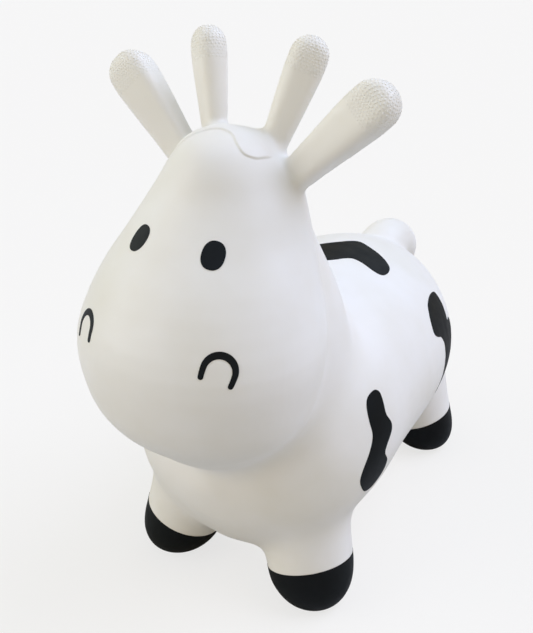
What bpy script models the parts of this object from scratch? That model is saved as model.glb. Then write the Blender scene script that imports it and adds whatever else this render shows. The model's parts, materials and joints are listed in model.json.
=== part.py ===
"""Bouncy ride-on cow: an air-filled PVC hopper with its colour coats and valve plug.

Lengths are in metres and +Z is up. The cow faces -Y, its left side is +X, and it
stands on four flat soles at Z = 0 with the origin under the middle of its box.
"""
from math import copysign, cos, pi, radians, sin

import bmesh
import bpy
from mathutils import Matrix, Vector
from mathutils.bvhtree import BVHTree

# Body, measured along Y from chest to rump, with the origin this share of the way along
BODY_LENGTH = 0.418
BODY_WIDTH = 0.262
BODY_DEPTH = 0.234
BODY_AXIS_HEIGHT = 0.167
MIDDLE_SHARE = 0.457
CHEST_Y = -MIDDLE_SHARE * BODY_LENGTH
RUMP_Y = CHEST_Y + BODY_LENGTH

# Head, measured up Z from chin to crown
CHIN_HEIGHT = 0.149
HEAD_HEIGHT = 0.297
HEAD_WIDTH = 0.204
HEAD_DEPTH = 0.184
HEAD_SETBACK = 0.038
HEAD_AXIS_Y = CHEST_Y + HEAD_SETBACK

# Neck core behind the head, from under the chin to just below the crown
NECK_DROP = 0.041
NECK_TOP_SHARE = 0.973
NECK_WIDTH = 0.194
NECK_DEPTH = 0.164
NECK_SETBACK = 0.053
NECK_AXIS_Y = HEAD_AXIS_Y + NECK_SETBACK
NECK_HEIGHT = NECK_DROP + NECK_TOP_SHARE * HEAD_HEIGHT

# Ears and horns, the grips of a young rider; roots are shares of the head's width,
# depth and height, and leans are directions
EAR_ROOT_SHARES = (0.229, 0.136, 0.898)
EAR_LEAN = (0.70, 0.12, 0.71)
EAR_LENGTH = 0.0872
EAR_WIDTH = 0.0362
EAR_THICKNESS = 0.030
HORN_ROOT_SHARES = (0.118, 0.162, 0.941)
HORN_LEAN = (0.256, 0.287, 0.923)
HORN_LENGTH = 0.081
HORN_WIDTH = 0.0300
HORN_THICKNESS = 0.0248

# Legs, which lean in and back and flare as they rise
FRONT_LEG_X = 0.080
FRONT_LEG_SETBACK = 0.068
FRONT_LEG_Y = CHEST_Y + FRONT_LEG_SETBACK
FRONT_LEG_LEAN = 0.020
FRONT_LEG_INWARD = 0.032
FRONT_LEG_FLARE = 0.17
REAR_LEG_X = 0.0855
REAR_LEG_INSET = 0.051
REAR_LEG_Y = RUMP_Y - REAR_LEG_INSET
REAR_LEG_LEAN = 0.0
REAR_LEG_INWARD = 0.038
REAR_LEG_FLARE = 0.0
LEG_WIDTH = 0.082
LEG_HEIGHT = 0.150

# Tail stub, rooted inside the rump
TAIL_INSET = 0.060
TAIL_RISE_SHARE = 0.198
TAIL_LENGTH = 0.088
TAIL_WIDTH = 0.060

# Skin wall, colour coats, and the air left between pieces
WALL = 0.0024
COAT = 0.0010
CLEARANCE = 0.0003
SOLE_TRIM = 0.0002

# How the forms melt into one skin
VOXEL = 0.005
BODY_FILLET = 0.034
GRIP_FILLET = 0.012
SKIN_FACES = 4400

# Hooves: height of their top line at the middle of the leg, its slopes, and how far
# the column that cuts them stands out round the leg
HOOF_HEIGHT = 0.045
HOOF_MARGIN = 0.0215
HOOF_OUTWARD_RISE_SHARE = 0.34
FRONT_HOOF_RISE_SHARE = -0.22
REAR_HOOF_RISE_SHARE = 0.10

# Eyes and nostrils; each place is the sideways and up shares of the head's width and
# height on the left (1) or right (-1), and the degrees that the top leans outward
EYE_PLACES = {1: (0.164, 0.781, 16), -1: (0.146, 0.784, 0)}
EYE_WIDTH = 0.0172
EYE_LENGTH = 0.0220
EYE_SQUARENESS = 2.3
EYE_FACING = (0.42, -0.68, 0.60)
NOSTRIL_PLACES = {1: (0.295, 0.550, 20), -1: (0.291, 0.561, 12)}
NOSTRIL_WIDTH = 0.0230
NOSTRIL_LEG = 0.0076
NOSTRIL_STROKE = 0.0053
NOSTRIL_END_SHARE = 0.75
NOSTRIL_WRAP = 16
NOSTRIL_FACING = (0.53, -0.81, 0.25)

# Raised edge of the swept lock of hair in front of the horns
LOCK_PLACE_SHARE = 0.071
LOCK_BASE_SHARE = 0.80
LOCK_SPAN = 0.070
LOCK_STROKE = 0.0035
LOCK_RELIEF = 0.0010

# Air valve under the belly and its plug
VALVE_PLACE_SHARE = 0.5335
VALVE_Y = CHEST_Y + VALVE_PLACE_SHARE * BODY_LENGTH
BORE = 0.0090
BOSS_WIDTH = 0.026
BOSS_DEPTH = 0.009
SEAT_PROUD = 0.0012
PLUG_HEAD_WIDTH = 0.018
PLUG_HEAD_DEPTH = 0.0024
PLUG_EDGE = 0.0006
PLUG_BARB_WIDTH = BORE - 2 * CLEARANCE
PLUG_BARB_DEPTH = 0.0011
PLUG_STEM_WIDTH = PLUG_BARB_WIDTH - 2 * PLUG_BARB_DEPTH
PLUG_LENGTH = 0.020

RING_POINTS = 40
RINGS = 28
CAP_RINGS = 7
OUTLINE_POINTS = 30
TURN_STEPS = 32
ROUND = 2.0
GRIP_SQUARENESS = 2.8
EAR_TURN_SHARE = -0.3
HORN_TURN_SHARE = 0.5

# Each row: place along, rise of the middle, width, depth
BODY_SHARES = (
    (0.000, -0.085, 0.05, 0.05),
    (0.040, -0.090, 0.48, 0.45),
    (0.117, -0.080, 0.82, 0.83),
    (0.245, -0.015, 0.98, 0.98),
    (0.400, 0.032, 1.00, 0.958),
    (0.590, 0.031, 0.995, 0.938),
    (0.750, 0.013, 0.915, 0.915),
    (0.875, -0.010, 0.735, 0.82),
    (0.965, 0.000, 0.47, 0.56),
    (1.000, 0.015, 0.05, 0.07),
)
# Each row: place up, place back of the middle, width, depth
HEAD_SHARES = (
    (0.000, 0.020, 0.04, 0.06),
    (0.090, -0.030, 0.45, 0.48),
    (0.187, -0.085, 0.70, 0.72),
    (0.270, -0.145, 0.87, 0.86),
    (0.370, -0.170, 0.96, 0.96),
    (0.510, -0.170, 1.00, 0.99),
    (0.657, -0.110, 0.87, 0.90),
    (0.783, -0.005, 0.69, 0.78),
    (0.883, 0.060, 0.54, 0.67),
    (0.950, 0.045, 0.41, 0.53),
    (1.003, 0.035, 0.27, 0.36),
    (1.032, 0.030, 0.05, 0.06),
)
NECK_SHARES = (
    (0.000, 0.10, 0.05, 0.04),
    (0.060, 0.10, 0.57, 0.64),
    (0.225, 0.02, 0.98, 1.04),
    (0.390, -0.05, 0.98, 1.08),
    (0.580, -0.09, 0.85, 0.99),
    (0.770, -0.11, 0.57, 0.72),
    (0.925, -0.14, 0.40, 0.57),
    (1.000, -0.16, 0.04, 0.04),
)
# Each row: place along, width
LEG_SHARES = (
    (0.000, 0.46),
    (0.020, 0.615),
    (0.065, 0.795),
    (0.145, 0.94),
    (0.240, 0.99),
    (0.370, 0.98),
    (0.530, 0.98),
    (0.760, 1.02),
    (1.000, 1.05),
)
GRIP_SHARES = (
    (0.00, 0.70),
    (0.30, 0.78),
    (0.60, 0.91),
    (0.85, 1.00),
    (1.00, 1.00),
)
# Each row: place along, rise, width
TAIL_SHARES = (
    (0.00, 0.00, 1.00),
    (0.30, 0.25, 0.98),
    (0.62, 0.29, 0.94),
    (0.92, 0.15, 0.87),
    (0.95, 0.00, 0.80),
)
# Each row: place across and place rearward, in shares of the lock's span
LOCK_SHARES = (
    (-0.37, -0.52),
    (-0.31, -0.46),
    (-0.235, -0.40),
    (-0.12, -0.315),
    (-0.03, -0.27),
    (0.06, -0.25),
    (0.18, -0.275),
    (0.30, -0.37),
    (0.39, -0.395),
    (0.455, -0.35),
    (0.505, -0.27),
    (0.54, -0.13),
    (0.555, 0.00),
)
# Each spot: place along the body, degrees round it from the spine towards the left,
# and its outline as (rearward, round the body) shares of the body's depth
SPOT_SHARES = {
    "spot_saddle": (0.58, 5, (
        (0.02, 0.175), (0.085, 0.122), (0.145, 0.07), (0.203, 0.025), (0.219, -0.01), (0.191, -0.071),
        (0.16, -0.134), (0.122, -0.186), (0.083, -0.216), (0.03, -0.227), (-0.015, -0.218),
        (-0.025, -0.18), (-0.007, -0.116), (-0.006, -0.07), (-0.04, -0.04), (-0.102, -0.005),
        (-0.256, 0.128), (-0.30, 0.235), (-0.21, 0.29), (-0.064, 0.235))),
    "spot_left_haunch": (0.658, 75, (
        (0.118, 0.182), (0.064, 0.193), (0.00, 0.191), (-0.06, 0.172), (-0.108, 0.128), (-0.127, 0.08),
        (-0.098, 0.051), (-0.058, 0.032), (-0.031, -0.01), (-0.029, -0.068), (-0.036, -0.125),
        (-0.044, -0.18), (-0.056, -0.235), (-0.035, -0.268), (0.04, -0.265), (0.14, -0.20),
        (0.20, -0.11), (0.21, -0.02), (0.17, 0.035), (0.122, 0.04), (0.131, 0.08), (0.14, 0.125),
        (0.134, 0.162))),
    "spot_left_shoulder": (0.218, 85, (
        (0.07, 0.195), (0.028, 0.184), (0.004, 0.153), (-0.008, 0.105), (-0.012, 0.05),
        (-0.034, 0.002), (-0.071, -0.058), (-0.087, -0.108), (-0.073, -0.152), (-0.036, -0.196),
        (0.02, -0.205), (0.066, -0.165), (0.076, -0.11), (0.05, -0.06), (0.062, -0.025),
        (0.098, 0.018), (0.101, 0.052), (0.082, 0.095), (0.088, 0.145), (0.09, 0.18))),
    "spot_right_shoulder": (0.235, -82, (
        (-0.02, 0.17), (0.05, 0.12), (0.045, 0.03), (0.11, -0.04), (0.09, -0.13), (0.0, -0.16),
        (-0.075, -0.11), (-0.05, -0.02), (-0.10, 0.06), (-0.085, 0.14))),
    "spot_right_flank": (0.53, -62, (
        (-0.13, 0.09), (0.0, 0.14), (0.12, 0.09), (0.15, -0.02), (0.07, -0.07), (0.05, -0.16),
        (-0.04, -0.19), (-0.09, -0.10), (-0.17, -0.03))),
    "spot_right_haunch": (0.80, -84, (
        (-0.07, 0.16), (0.04, 0.17), (0.09, 0.07), (0.05, -0.03), (0.10, -0.12), (0.02, -0.19),
        (-0.08, -0.14), (-0.06, -0.03), (-0.12, 0.05))),
}

WHITE = (0.86, 0.85, 0.83)
BLACK = (0.018, 0.020, 0.024)
CLEAR_GREY = (0.62, 0.63, 0.62)

UP = Vector((0, 0, 1))
REARWARD = Vector((0, 1, 0))


def between(p0, p1, p2, p3, t):
    """The value of a smooth curve between p1 and p2."""
    bend = 2 * p0 - 5 * p1 + 4 * p2 - p3
    return p1 + 0.5 * ((p2 - p0) * t + bend * t ** 2 + (3 * p1 - p0 - 3 * p2 + p3) * t ** 3)


def smooth_rows(rows, count):
    """Read count rows from a smooth curve through the rows."""
    before = [2 * a - b for a, b in zip(rows[0], rows[1])]
    after = [2 * a - b for a, b in zip(rows[-1], rows[-2])]
    points = [before, *rows, after]
    result = []
    for index in range(count):
        place = (len(rows) - 1) * index / (count - 1)
        start = min(int(place), len(rows) - 2)
        result.append([between(*values, place - start) for values in zip(*points[start:start + 4])])
    return result


def smooth_loop(points, count):
    """Read count points from a smooth closed curve through the points."""
    result = []
    for index in range(count):
        place = len(points) * index / count
        start = int(place)
        near = [points[(start + step) % len(points)] for step in (-1, 0, 1, 2)]
        result.append([between(*values, place - start) for values in zip(*near)])
    return result


def stroke(path, width, end_share=1):
    """The outline of a round-ended stroke along flat points, thinner towards its ends."""
    left = []
    right = []
    for index, point in enumerate(path):
        ahead = path[min(index + 1, len(path) - 1)] - path[max(index - 1, 0)]
        off_middle = abs(2 * index / (len(path) - 1) - 1)
        half = width / 2 * (1 - (1 - end_share) * off_middle ** 2)
        across = Vector((-ahead.y, ahead.x)).normalized() * half
        left.append(point + across)
        right.append(point - across)
    ends = []
    for end, inner in ((path[-1], path[-2]), (path[0], path[1])):
        ahead = (end - inner).normalized() * end_share * width / 2
        across = Vector((-ahead.y, ahead.x))
        angles = [pi * step / CAP_RINGS for step in range(1, CAP_RINGS)]
        ends.append([end + across * cos(angle) + ahead * sin(angle) for angle in angles])
    return left + ends[0] + right[::-1] + ends[1]


def new_object(name, bm):
    """Link an object made from the bmesh, and free the bmesh."""
    mesh = bpy.data.meshes.new(name)
    bm.to_mesh(mesh)
    bm.free()
    obj = bpy.data.objects.new(name, mesh)
    bpy.context.scene.collection.objects.link(obj)
    return obj


def worked_copy(name, obj):
    """A bmesh of the object with its modifiers worked in."""
    bm = bmesh.new()
    bm.from_object(obj, bpy.context.evaluated_depsgraph_get())
    return new_object(name, bm)


def tree_of(obj):
    """A search tree of the object's faces."""
    return BVHTree.FromObject(obj, bpy.context.evaluated_depsgraph_get())


def squared(value, squareness):
    """A sine or cosine bent so that its oval turns squarer as squareness grows past 2."""
    return copysign(abs(value) ** (2 / squareness), value)


def oval(bm, centre, across, up, squareness):
    """Add a ring of edges, squarer as squareness grows past 2."""
    verts = []
    for index in range(RING_POINTS):
        angle = 2 * pi * index / RING_POINTS
        offset = across * squared(cos(angle), squareness) + up * squared(sin(angle), squareness)
        verts.append(bm.verts.new(centre + offset))
    return [bm.edges.new((verts[index - 1], verts[index])) for index in range(RING_POINTS)]


def loft(name, rings, squareness=ROUND):
    """Bridge ovals, each (centre, across, up), into one closed form."""
    bm = bmesh.new()
    loops = [oval(bm, *ring, squareness) for ring in rings]
    for near, far in zip(loops, loops[1:]):
        bmesh.ops.bridge_loops(bm, edges=near + far)
    for end in (loops[0], loops[-1]):
        bmesh.ops.edgeloop_fill(bm, edges=end)
    bmesh.ops.recalc_face_normals(bm, faces=bm.faces)
    return new_object(name, bm)


def round_end(end, across, up, reach):
    """Shrinking ovals that close a tube roundly, reach beyond its end."""
    rings = []
    for step in range(1, CAP_RINGS):
        angle = step / CAP_RINGS * pi / 2
        rings.append((end + reach * sin(angle), across * cos(angle), up * cos(angle)))
    return rings


def body():
    """The barrel of the body from chest to rump."""
    rings = []
    for along, rise, width, depth in smooth_rows(BODY_SHARES, RINGS):
        centre = Vector((0, CHEST_Y + along * BODY_LENGTH, BODY_AXIS_HEIGHT + rise * BODY_DEPTH))
        across = Vector((width * BODY_WIDTH / 2, 0, 0))
        rings.append((centre, across, UP * depth * BODY_DEPTH / 2))
    return loft("body", rings)


def upright(name, shares, base, size, axis_y):
    """Level ovals stacked up, for the head and for the neck core."""
    width, depth, height = size
    rings = []
    for along, back, broad, deep in smooth_rows(shares, RINGS):
        centre = Vector((0, axis_y + back * depth, base + along * height))
        rings.append((centre, Vector((broad * width / 2, 0, 0)), REARWARD * deep * depth / 2))
    return loft(name, rings)


def leg(side, x, y, lean, inward, flare):
    """A leg from its flat sole up into the body."""
    sole = COAT + CLEARANCE - SOLE_TRIM
    rings = []
    for along, width in smooth_rows(LEG_SHARES, RINGS):
        centre = Vector((side * (x - along * inward), y + along * lean, sole + along * LEG_HEIGHT))
        half = width * (1 + along * flare) * LEG_WIDTH / 2
        rings.append((centre, Vector((half, 0, 0)), REARWARD * half))
    return loft("leg", rings)


def on_head(side, across, back, up):
    """The point at the given shares of the head's width, depth and height."""
    x = side * across * HEAD_WIDTH
    return Vector((x, HEAD_AXIS_Y + back * HEAD_DEPTH, CHIN_HEIGHT + up * HEAD_HEIGHT))


def grip(side, root_shares, lean, turn, length, width, thickness):
    """An ear or a horn: a flattened finger with a round tip, turned about its length."""
    start = on_head(side, *root_shares)
    axis = Vector((side * lean[0], lean[1], lean[2])).normalized()
    end = start + axis * length
    inward = REARWARD - Vector((side * turn, 0, 0))
    across = axis.cross(inward).normalized() * width / 2
    through = axis.cross(across).normalized() * thickness / 2
    rings = []
    for along, share in smooth_rows(GRIP_SHARES, RINGS):
        rings.append((start.lerp(end, along), across * share, through * share))
    rings += round_end(end, across, through, axis * width / 2)
    return loft("grip", rings, GRIP_SQUARENESS)


def tail():
    """A stub that arches off the rump and droops."""
    rows = smooth_rows(TAIL_SHARES, RINGS)
    root = Vector((0, RUMP_Y - TAIL_INSET, BODY_AXIS_HEIGHT + TAIL_RISE_SHARE * BODY_DEPTH))
    points = [root + (REARWARD * along + UP * rise) * TAIL_LENGTH for along, rise, _ in rows]
    rings = []
    for index, point in enumerate(points):
        ahead = points[min(index + 1, len(points) - 1)] - points[max(index - 1, 0)]
        half = rows[index][2] * TAIL_WIDTH / 2
        across = Vector((half, 0, 0))
        rings.append((point, across, across.cross(ahead).normalized() * half))
    end, across, up = rings[-1]
    reach = (points[-1] - points[-2]).normalized() * up.length
    rings += round_end(end, across, up, reach)
    return loft("tail", rings)


def melted_forms():
    """One smooth closed surface round all the forms, with fillets where they meet."""
    trunk = [
        body(),
        upright("head", HEAD_SHARES, CHIN_HEIGHT, (HEAD_WIDTH, HEAD_DEPTH, HEAD_HEIGHT), HEAD_AXIS_Y),
        upright("neck", NECK_SHARES, CHIN_HEIGHT - NECK_DROP, (NECK_WIDTH, NECK_DEPTH, NECK_HEIGHT),
                NECK_AXIS_Y),
    ]
    small = [tail()]
    for side in (1, -1):
        trunk.append(leg(side, FRONT_LEG_X, FRONT_LEG_Y, FRONT_LEG_LEAN, FRONT_LEG_INWARD, FRONT_LEG_FLARE))
        trunk.append(leg(side, REAR_LEG_X, REAR_LEG_Y, REAR_LEG_LEAN, REAR_LEG_INWARD, REAR_LEG_FLARE))
        small.append(grip(side, EAR_ROOT_SHARES, EAR_LEAN, EAR_TURN_SHARE, EAR_LENGTH, EAR_WIDTH,
                          EAR_THICKNESS))
        small.append(grip(side, HORN_ROOT_SHARES, HORN_LEAN, HORN_TURN_SHARE, HORN_LENGTH, HORN_WIDTH,
                          HORN_THICKNESS))
    bm = bmesh.new()
    for form in trunk + small:
        bm.from_mesh(form.data)
    joined = new_object("joined_forms", bm)
    remesh = joined.modifiers.new("melt", "REMESH")
    remesh.voxel_size = VOXEL
    melted = worked_copy("melted_forms", joined)
    add_fillets(melted, [tree_of(form) for form in trunk], [tree_of(form) for form in small])
    smooth = worked_copy("smooth_forms", melted)
    for helper in trunk + small + [joined, melted]:
        bpy.data.objects.remove(helper)
    return smooth


def add_fillets(melted, trunk, small):
    """Smooth the surface where it lies near two forms at once."""
    broad = melted.vertex_groups.new(name="body_fillet")
    tight = melted.vertex_groups.new(name="grip_fillet")
    for vert in melted.data.vertices:
        far = sorted(tree.find_nearest(vert.co)[3] for tree in trunk)
        near = sorted(tree.find_nearest(vert.co)[3] for tree in small)
        clear = min(1, near[0] / GRIP_FILLET)
        broad.add([vert.index], clear * max(0, 1 - far[1] / BODY_FILLET), "REPLACE")
        second = sorted((near[0], near[1], far[0]))[1]
        tight.add([vert.index], max(0, 1 - second / GRIP_FILLET), "REPLACE")
    for group, reach in ((broad, BODY_FILLET), (tight, GRIP_FILLET)):
        smooth = melted.modifiers.new(group.name, "SMOOTH")
        smooth.iterations = round((reach / VOXEL) ** 2)
        smooth.vertex_group = group.name


def skin_surface():
    """The outer skin with few enough faces to build solids from."""
    smooth = melted_forms()
    thin = smooth.modifiers.new("thin_out", "DECIMATE")
    thin.ratio = SKIN_FACES / (2 * len(smooth.data.polygons))
    thin.use_collapse_triangulate = True
    surface = worked_copy("skin_surface", smooth)
    bpy.data.objects.remove(smooth)
    return surface


def moved_out(name, surface, distance):
    """A copy of the surface with every face moved out by the distance."""
    bm = bmesh.new()
    bm.from_mesh(surface.data)
    bm.normal_update()
    moves = [(vert, vert.normal * vert.calc_shell_factor() * distance) for vert in bm.verts]
    for vert, move in moves:
        vert.co += move
    return new_object(name, bm)


def combine(obj, tool, operation):
    """Add a Boolean with the tool to the object, and keep the tool as a guide."""
    boolean = obj.modifiers.new(tool.name, "BOOLEAN")
    boolean.operation = operation
    boolean.object = tool
    tool.hide_render = True
    tool.display_type = "WIRE"


def prism(outline, origin, facing, upward, reach):
    """Extrude a flat outline from the origin along facing."""
    across = upward.cross(facing).normalized()
    rise = facing.cross(across).normalized()
    bm = bmesh.new()
    face = bm.faces.new([bm.verts.new(origin + across * point[0] + rise * point[1]) for point in outline])
    raised = bmesh.ops.extrude_face_region(bm, geom=[face])["geom"]
    far = [item for item in raised if isinstance(item, bmesh.types.BMVert)]
    bmesh.ops.translate(bm, vec=facing.normalized() * reach, verts=far)
    bmesh.ops.recalc_face_normals(bm, faces=bm.faces)
    return new_object("region", bm)


def spot_region(along, degrees, outline):
    """A prism through the skin with a spot's outline, facing out from the body's axis."""
    facing = Vector((sin(radians(degrees)), 0, cos(radians(degrees))))
    origin = Vector((0, CHEST_Y + along * BODY_LENGTH, BODY_AXIS_HEIGHT)) + facing * BODY_DEPTH / 4
    points = [(u * BODY_DEPTH, v * BODY_DEPTH) for u, v in smooth_loop(outline, OUTLINE_POINTS)]
    return prism(points, origin, facing, facing.cross(REARWARD), BODY_WIDTH / 2)


def face_region(outline, side, place, facing, surface):
    """A prism through the head's skin, standing where the face has the given place."""
    across, up, degrees = place
    seat = tree_of(surface).ray_cast(on_head(side, across, -1, up), REARWARD)[0]
    outward = Vector((side * facing[0], facing[1], facing[2])).normalized()
    reach = HEAD_DEPTH / 8
    turn = Matrix.Rotation(-side * radians(degrees), 2)
    return prism([turn @ point for point in outline], seat - outward * reach, outward, UP, 2 * reach)


def eye_outline():
    """An upright oval with slightly flattened sides."""
    points = []
    for step in range(OUTLINE_POINTS):
        angle = 2 * pi * step / OUTLINE_POINTS
        x = squared(cos(angle), EYE_SQUARENESS) * EYE_WIDTH / 2
        points.append(Vector((x, squared(sin(angle), EYE_SQUARENESS) * EYE_LENGTH / 2)))
    return points


def nostril_outline():
    """An arch: half a circle whose two short legs curl inward."""
    radius = NOSTRIL_WIDTH / 2
    wrap = radians(NOSTRIL_WRAP)
    drop = NOSTRIL_LEG / sin(wrap)
    path = []
    for step in range(3 * CAP_RINGS + 1):
        angle = (pi + 2 * wrap) * step / (3 * CAP_RINGS) - wrap
        rise = sin(angle) * (radius if sin(angle) > 0 else drop)
        path.append(Vector((radius * cos(angle), rise)))
    return stroke(path, NOSTRIL_STROKE, NOSTRIL_END_SHARE)


def lock_outline():
    """The swept lower edge of the hair lock, seen from above."""
    path = [Vector((across, back)) * LOCK_SPAN for across, back in smooth_rows(LOCK_SHARES, OUTLINE_POINTS)]
    return stroke(path, LOCK_STROKE)


def lock_ridge(surface):
    """The raised edge of the hair lock, rooted in the skin's wall."""
    foot = on_head(0, 0, LOCK_PLACE_SHARE, LOCK_BASE_SHARE)
    ridge = prism(lock_outline(), foot, UP, REARWARD, HEAD_HEIGHT / 2)
    ridge.name = "lock_ridge"
    combine(ridge, moved_out("lock_outside", surface, LOCK_RELIEF), "INTERSECT")
    combine(ridge, moved_out("lock_root", surface, -LOCK_RELIEF), "DIFFERENCE")
    return ridge


def hoof_region(side, x, y, rise):
    """A column round a foot, cut off along the hoof's slanting top line."""
    bm = bmesh.new()
    radius = LEG_WIDTH / 2 + HOOF_MARGIN
    centre = Vector((side * x, y, HOOF_HEIGHT / 2))
    bmesh.ops.create_cone(bm, cap_ends=True, segments=OUTLINE_POINTS, radius1=radius, radius2=radius,
                          depth=HOOF_HEIGHT, matrix=Matrix.Translation(centre))
    for vert in bm.verts:
        if vert.co.z > centre.z:
            outward = side * vert.co.x - x
            vert.co.z += HOOF_OUTWARD_RISE_SHARE * outward + rise * (vert.co.y - y)
    return new_object("region", bm)


def turned(name, profile):
    """Spin a profile of (radius, height) points about Z."""
    bm = bmesh.new()
    verts = [bm.verts.new((radius, 0, height)) for radius, height in profile]
    edges = [bm.edges.new(pair) for pair in zip(verts, verts[1:])]
    bmesh.ops.spin(bm, geom=verts + edges, cent=(0, 0, 0), axis=UP, steps=TURN_STEPS, angle=2 * pi)
    bmesh.ops.remove_doubles(bm, verts=bm.verts, dist=CLEARANCE / 10)
    bmesh.ops.recalc_face_normals(bm, faces=bm.faces)
    return new_object(name, bm)


def rod(name, width, low, high, y):
    """An upright round rod on the middle line."""
    bm = bmesh.new()
    middle = Matrix.Translation((0, y, (low + high) / 2))
    bmesh.ops.create_cone(bm, cap_ends=True, segments=TURN_STEPS, radius1=width / 2, radius2=width / 2,
                          depth=high - low, matrix=middle)
    return new_object(name, bm)


def plug_profile():
    """Head, stem and two barbs of the valve plug, from its outer face up."""
    head = PLUG_HEAD_WIDTH / 2
    stem = PLUG_STEM_WIDTH / 2
    barb = PLUG_BARB_WIDTH / 2
    tip = PLUG_HEAD_DEPTH + PLUG_LENGTH
    pitch = PLUG_LENGTH / 4
    return [
        (0, 0), (head - PLUG_EDGE, 0), (head, PLUG_EDGE), (head, PLUG_HEAD_DEPTH), (stem, PLUG_HEAD_DEPTH),
        (stem, tip - 2 * pitch), (barb, tip - 2 * pitch), (stem, tip - pitch), (barb, tip - pitch),
        (stem, tip), (0, tip),
    ]


def paint(obj, name, colour, roughness):
    """Give the object a plain material of its own and smooth shading."""
    material = bpy.data.materials.new(name)
    material.use_nodes = True
    shader = material.node_tree.nodes["Principled BSDF"]
    shader.inputs["Base Color"].default_value = (*colour, 1)
    shader.inputs["Roughness"].default_value = roughness
    shader.inputs["Metallic"].default_value = 0
    obj.data.materials.clear()
    obj.data.materials.append(material)
    obj.data.shade_smooth()


def make_skin(surface):
    """The hollow skin with its valve boss, its bore and the raised lock line."""
    skin = worked_copy("skin", surface)
    wall = skin.modifiers.new("wall", "SOLIDIFY")
    wall.thickness = WALL
    wall.offset = -1
    combine(skin, lock_ridge(surface), "UNION")
    belly = tree_of(surface).ray_cast(Vector((0, VALVE_Y, 0)), UP)[0].z
    seat = belly - SEAT_PROUD
    combine(skin, rod("valve_boss", BOSS_WIDTH, seat, seat + BOSS_DEPTH, VALVE_Y), "UNION")
    combine(skin, rod("valve_bore", BORE, seat - BOSS_DEPTH, seat + 2 * BOSS_DEPTH, VALVE_Y), "DIFFERENCE")
    paint(skin, "white_pvc", WHITE, 0.55)
    return seat


def make_plug(seat):
    """The plug that closes the valve; it pulls straight down."""
    plug = turned("valve_plug", plug_profile())
    plug.location = (0, VALVE_Y, seat - CLEARANCE - PLUG_HEAD_DEPTH)
    paint(plug, "clear_pvc", CLEAR_GREY, 0.3)


def make_coat(name, region, outside, inside):
    """A black coat: the region between the coat's outside and its inside."""
    region.name = name
    combine(region, outside, "INTERSECT")
    combine(region, inside, "DIFFERENCE")
    paint(region, name + "_black", BLACK, 0.4)


def make_coats(surface):
    """Hooves, spots, eyes and nostrils, all one coat thick on the skin."""
    outside = moved_out("coat_outside", surface, CLEARANCE + COAT)
    inside = moved_out("coat_inside", surface, CLEARANCE)
    for side, word in ((1, "left"), (-1, "right")):
        regions = {
            "hoof_front_": hoof_region(side, FRONT_LEG_X, FRONT_LEG_Y, FRONT_HOOF_RISE_SHARE),
            "hoof_rear_": hoof_region(side, REAR_LEG_X, REAR_LEG_Y, REAR_HOOF_RISE_SHARE),
            "eye_": face_region(eye_outline(), side, EYE_PLACES[side], EYE_FACING, surface),
            "nostril_": face_region(nostril_outline(), side, NOSTRIL_PLACES[side], NOSTRIL_FACING, surface),
        }
        for name, region in regions.items():
            make_coat(name + word, region, outside, inside)
    for name, (along, degrees, outline) in SPOT_SHARES.items():
        make_coat(name, spot_region(along, degrees, outline), outside, inside)


def main():
    """Clear the scene and build the hopper."""
    for old in list(bpy.data.objects):
        bpy.data.objects.remove(old)
    surface = skin_surface()
    make_plug(make_skin(surface))
    make_coats(surface)
    bpy.data.objects.remove(surface)


main()
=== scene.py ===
"""Studio scene of a bouncy ride-on cow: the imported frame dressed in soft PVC.

Lengths are in metres and +Z is up. The cow faces -Y and its left side is +X.
"""

import json
import logging
from collections.abc import Callable, Iterator, Sequence
from contextlib import contextmanager
from dataclasses import dataclass
from enum import Enum
from math import atan2, cos, pi, radians, sin

import bmesh
import bpy
from bpy.types import Material, Node, NodeSocket, NodeTree, Object
from mathutils import Matrix, Vector
from mathutils.bvhtree import BVHTree

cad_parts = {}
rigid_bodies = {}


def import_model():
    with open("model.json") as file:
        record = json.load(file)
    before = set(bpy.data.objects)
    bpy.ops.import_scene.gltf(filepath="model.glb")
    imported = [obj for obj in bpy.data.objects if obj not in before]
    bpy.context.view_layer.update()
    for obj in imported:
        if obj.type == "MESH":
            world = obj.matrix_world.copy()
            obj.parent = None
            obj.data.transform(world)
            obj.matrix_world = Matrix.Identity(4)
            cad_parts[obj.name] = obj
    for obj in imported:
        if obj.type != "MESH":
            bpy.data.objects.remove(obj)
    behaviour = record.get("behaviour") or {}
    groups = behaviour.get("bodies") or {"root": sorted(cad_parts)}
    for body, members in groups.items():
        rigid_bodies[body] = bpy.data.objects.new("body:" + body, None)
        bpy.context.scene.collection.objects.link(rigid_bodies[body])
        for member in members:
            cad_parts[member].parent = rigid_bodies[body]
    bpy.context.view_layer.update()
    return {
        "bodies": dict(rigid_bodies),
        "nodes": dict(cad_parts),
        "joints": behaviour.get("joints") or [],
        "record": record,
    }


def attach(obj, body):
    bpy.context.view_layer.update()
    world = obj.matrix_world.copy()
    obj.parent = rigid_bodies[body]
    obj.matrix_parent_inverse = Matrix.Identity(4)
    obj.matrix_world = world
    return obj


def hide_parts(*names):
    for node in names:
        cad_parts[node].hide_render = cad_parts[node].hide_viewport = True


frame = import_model()

BODY_NAME = "hopper"
UP = Vector((0, 0, 1))
REARWARD = Vector((0, 1, 0))
MILLIMETRE = 0.001
VALVE_PLACE = 0.0320

# How finely the forms are drawn
OVAL_SIDES = 64
BORE_SIDES = 48
CORNER_STEPS = 10
CAP_STEPS = 12
RING_COUNT = 36
TAIL_RINGS = 30
TAIL_END_RINGS = 10
GRIP_RINGS = 24
TIP_RINGS = 14
LOCK_POINTS = 60
SPOT_POINTS = 140
EYE_POINTS = 72
NOSTRIL_STEPS = 36

log = logging.getLogger("cow")


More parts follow.
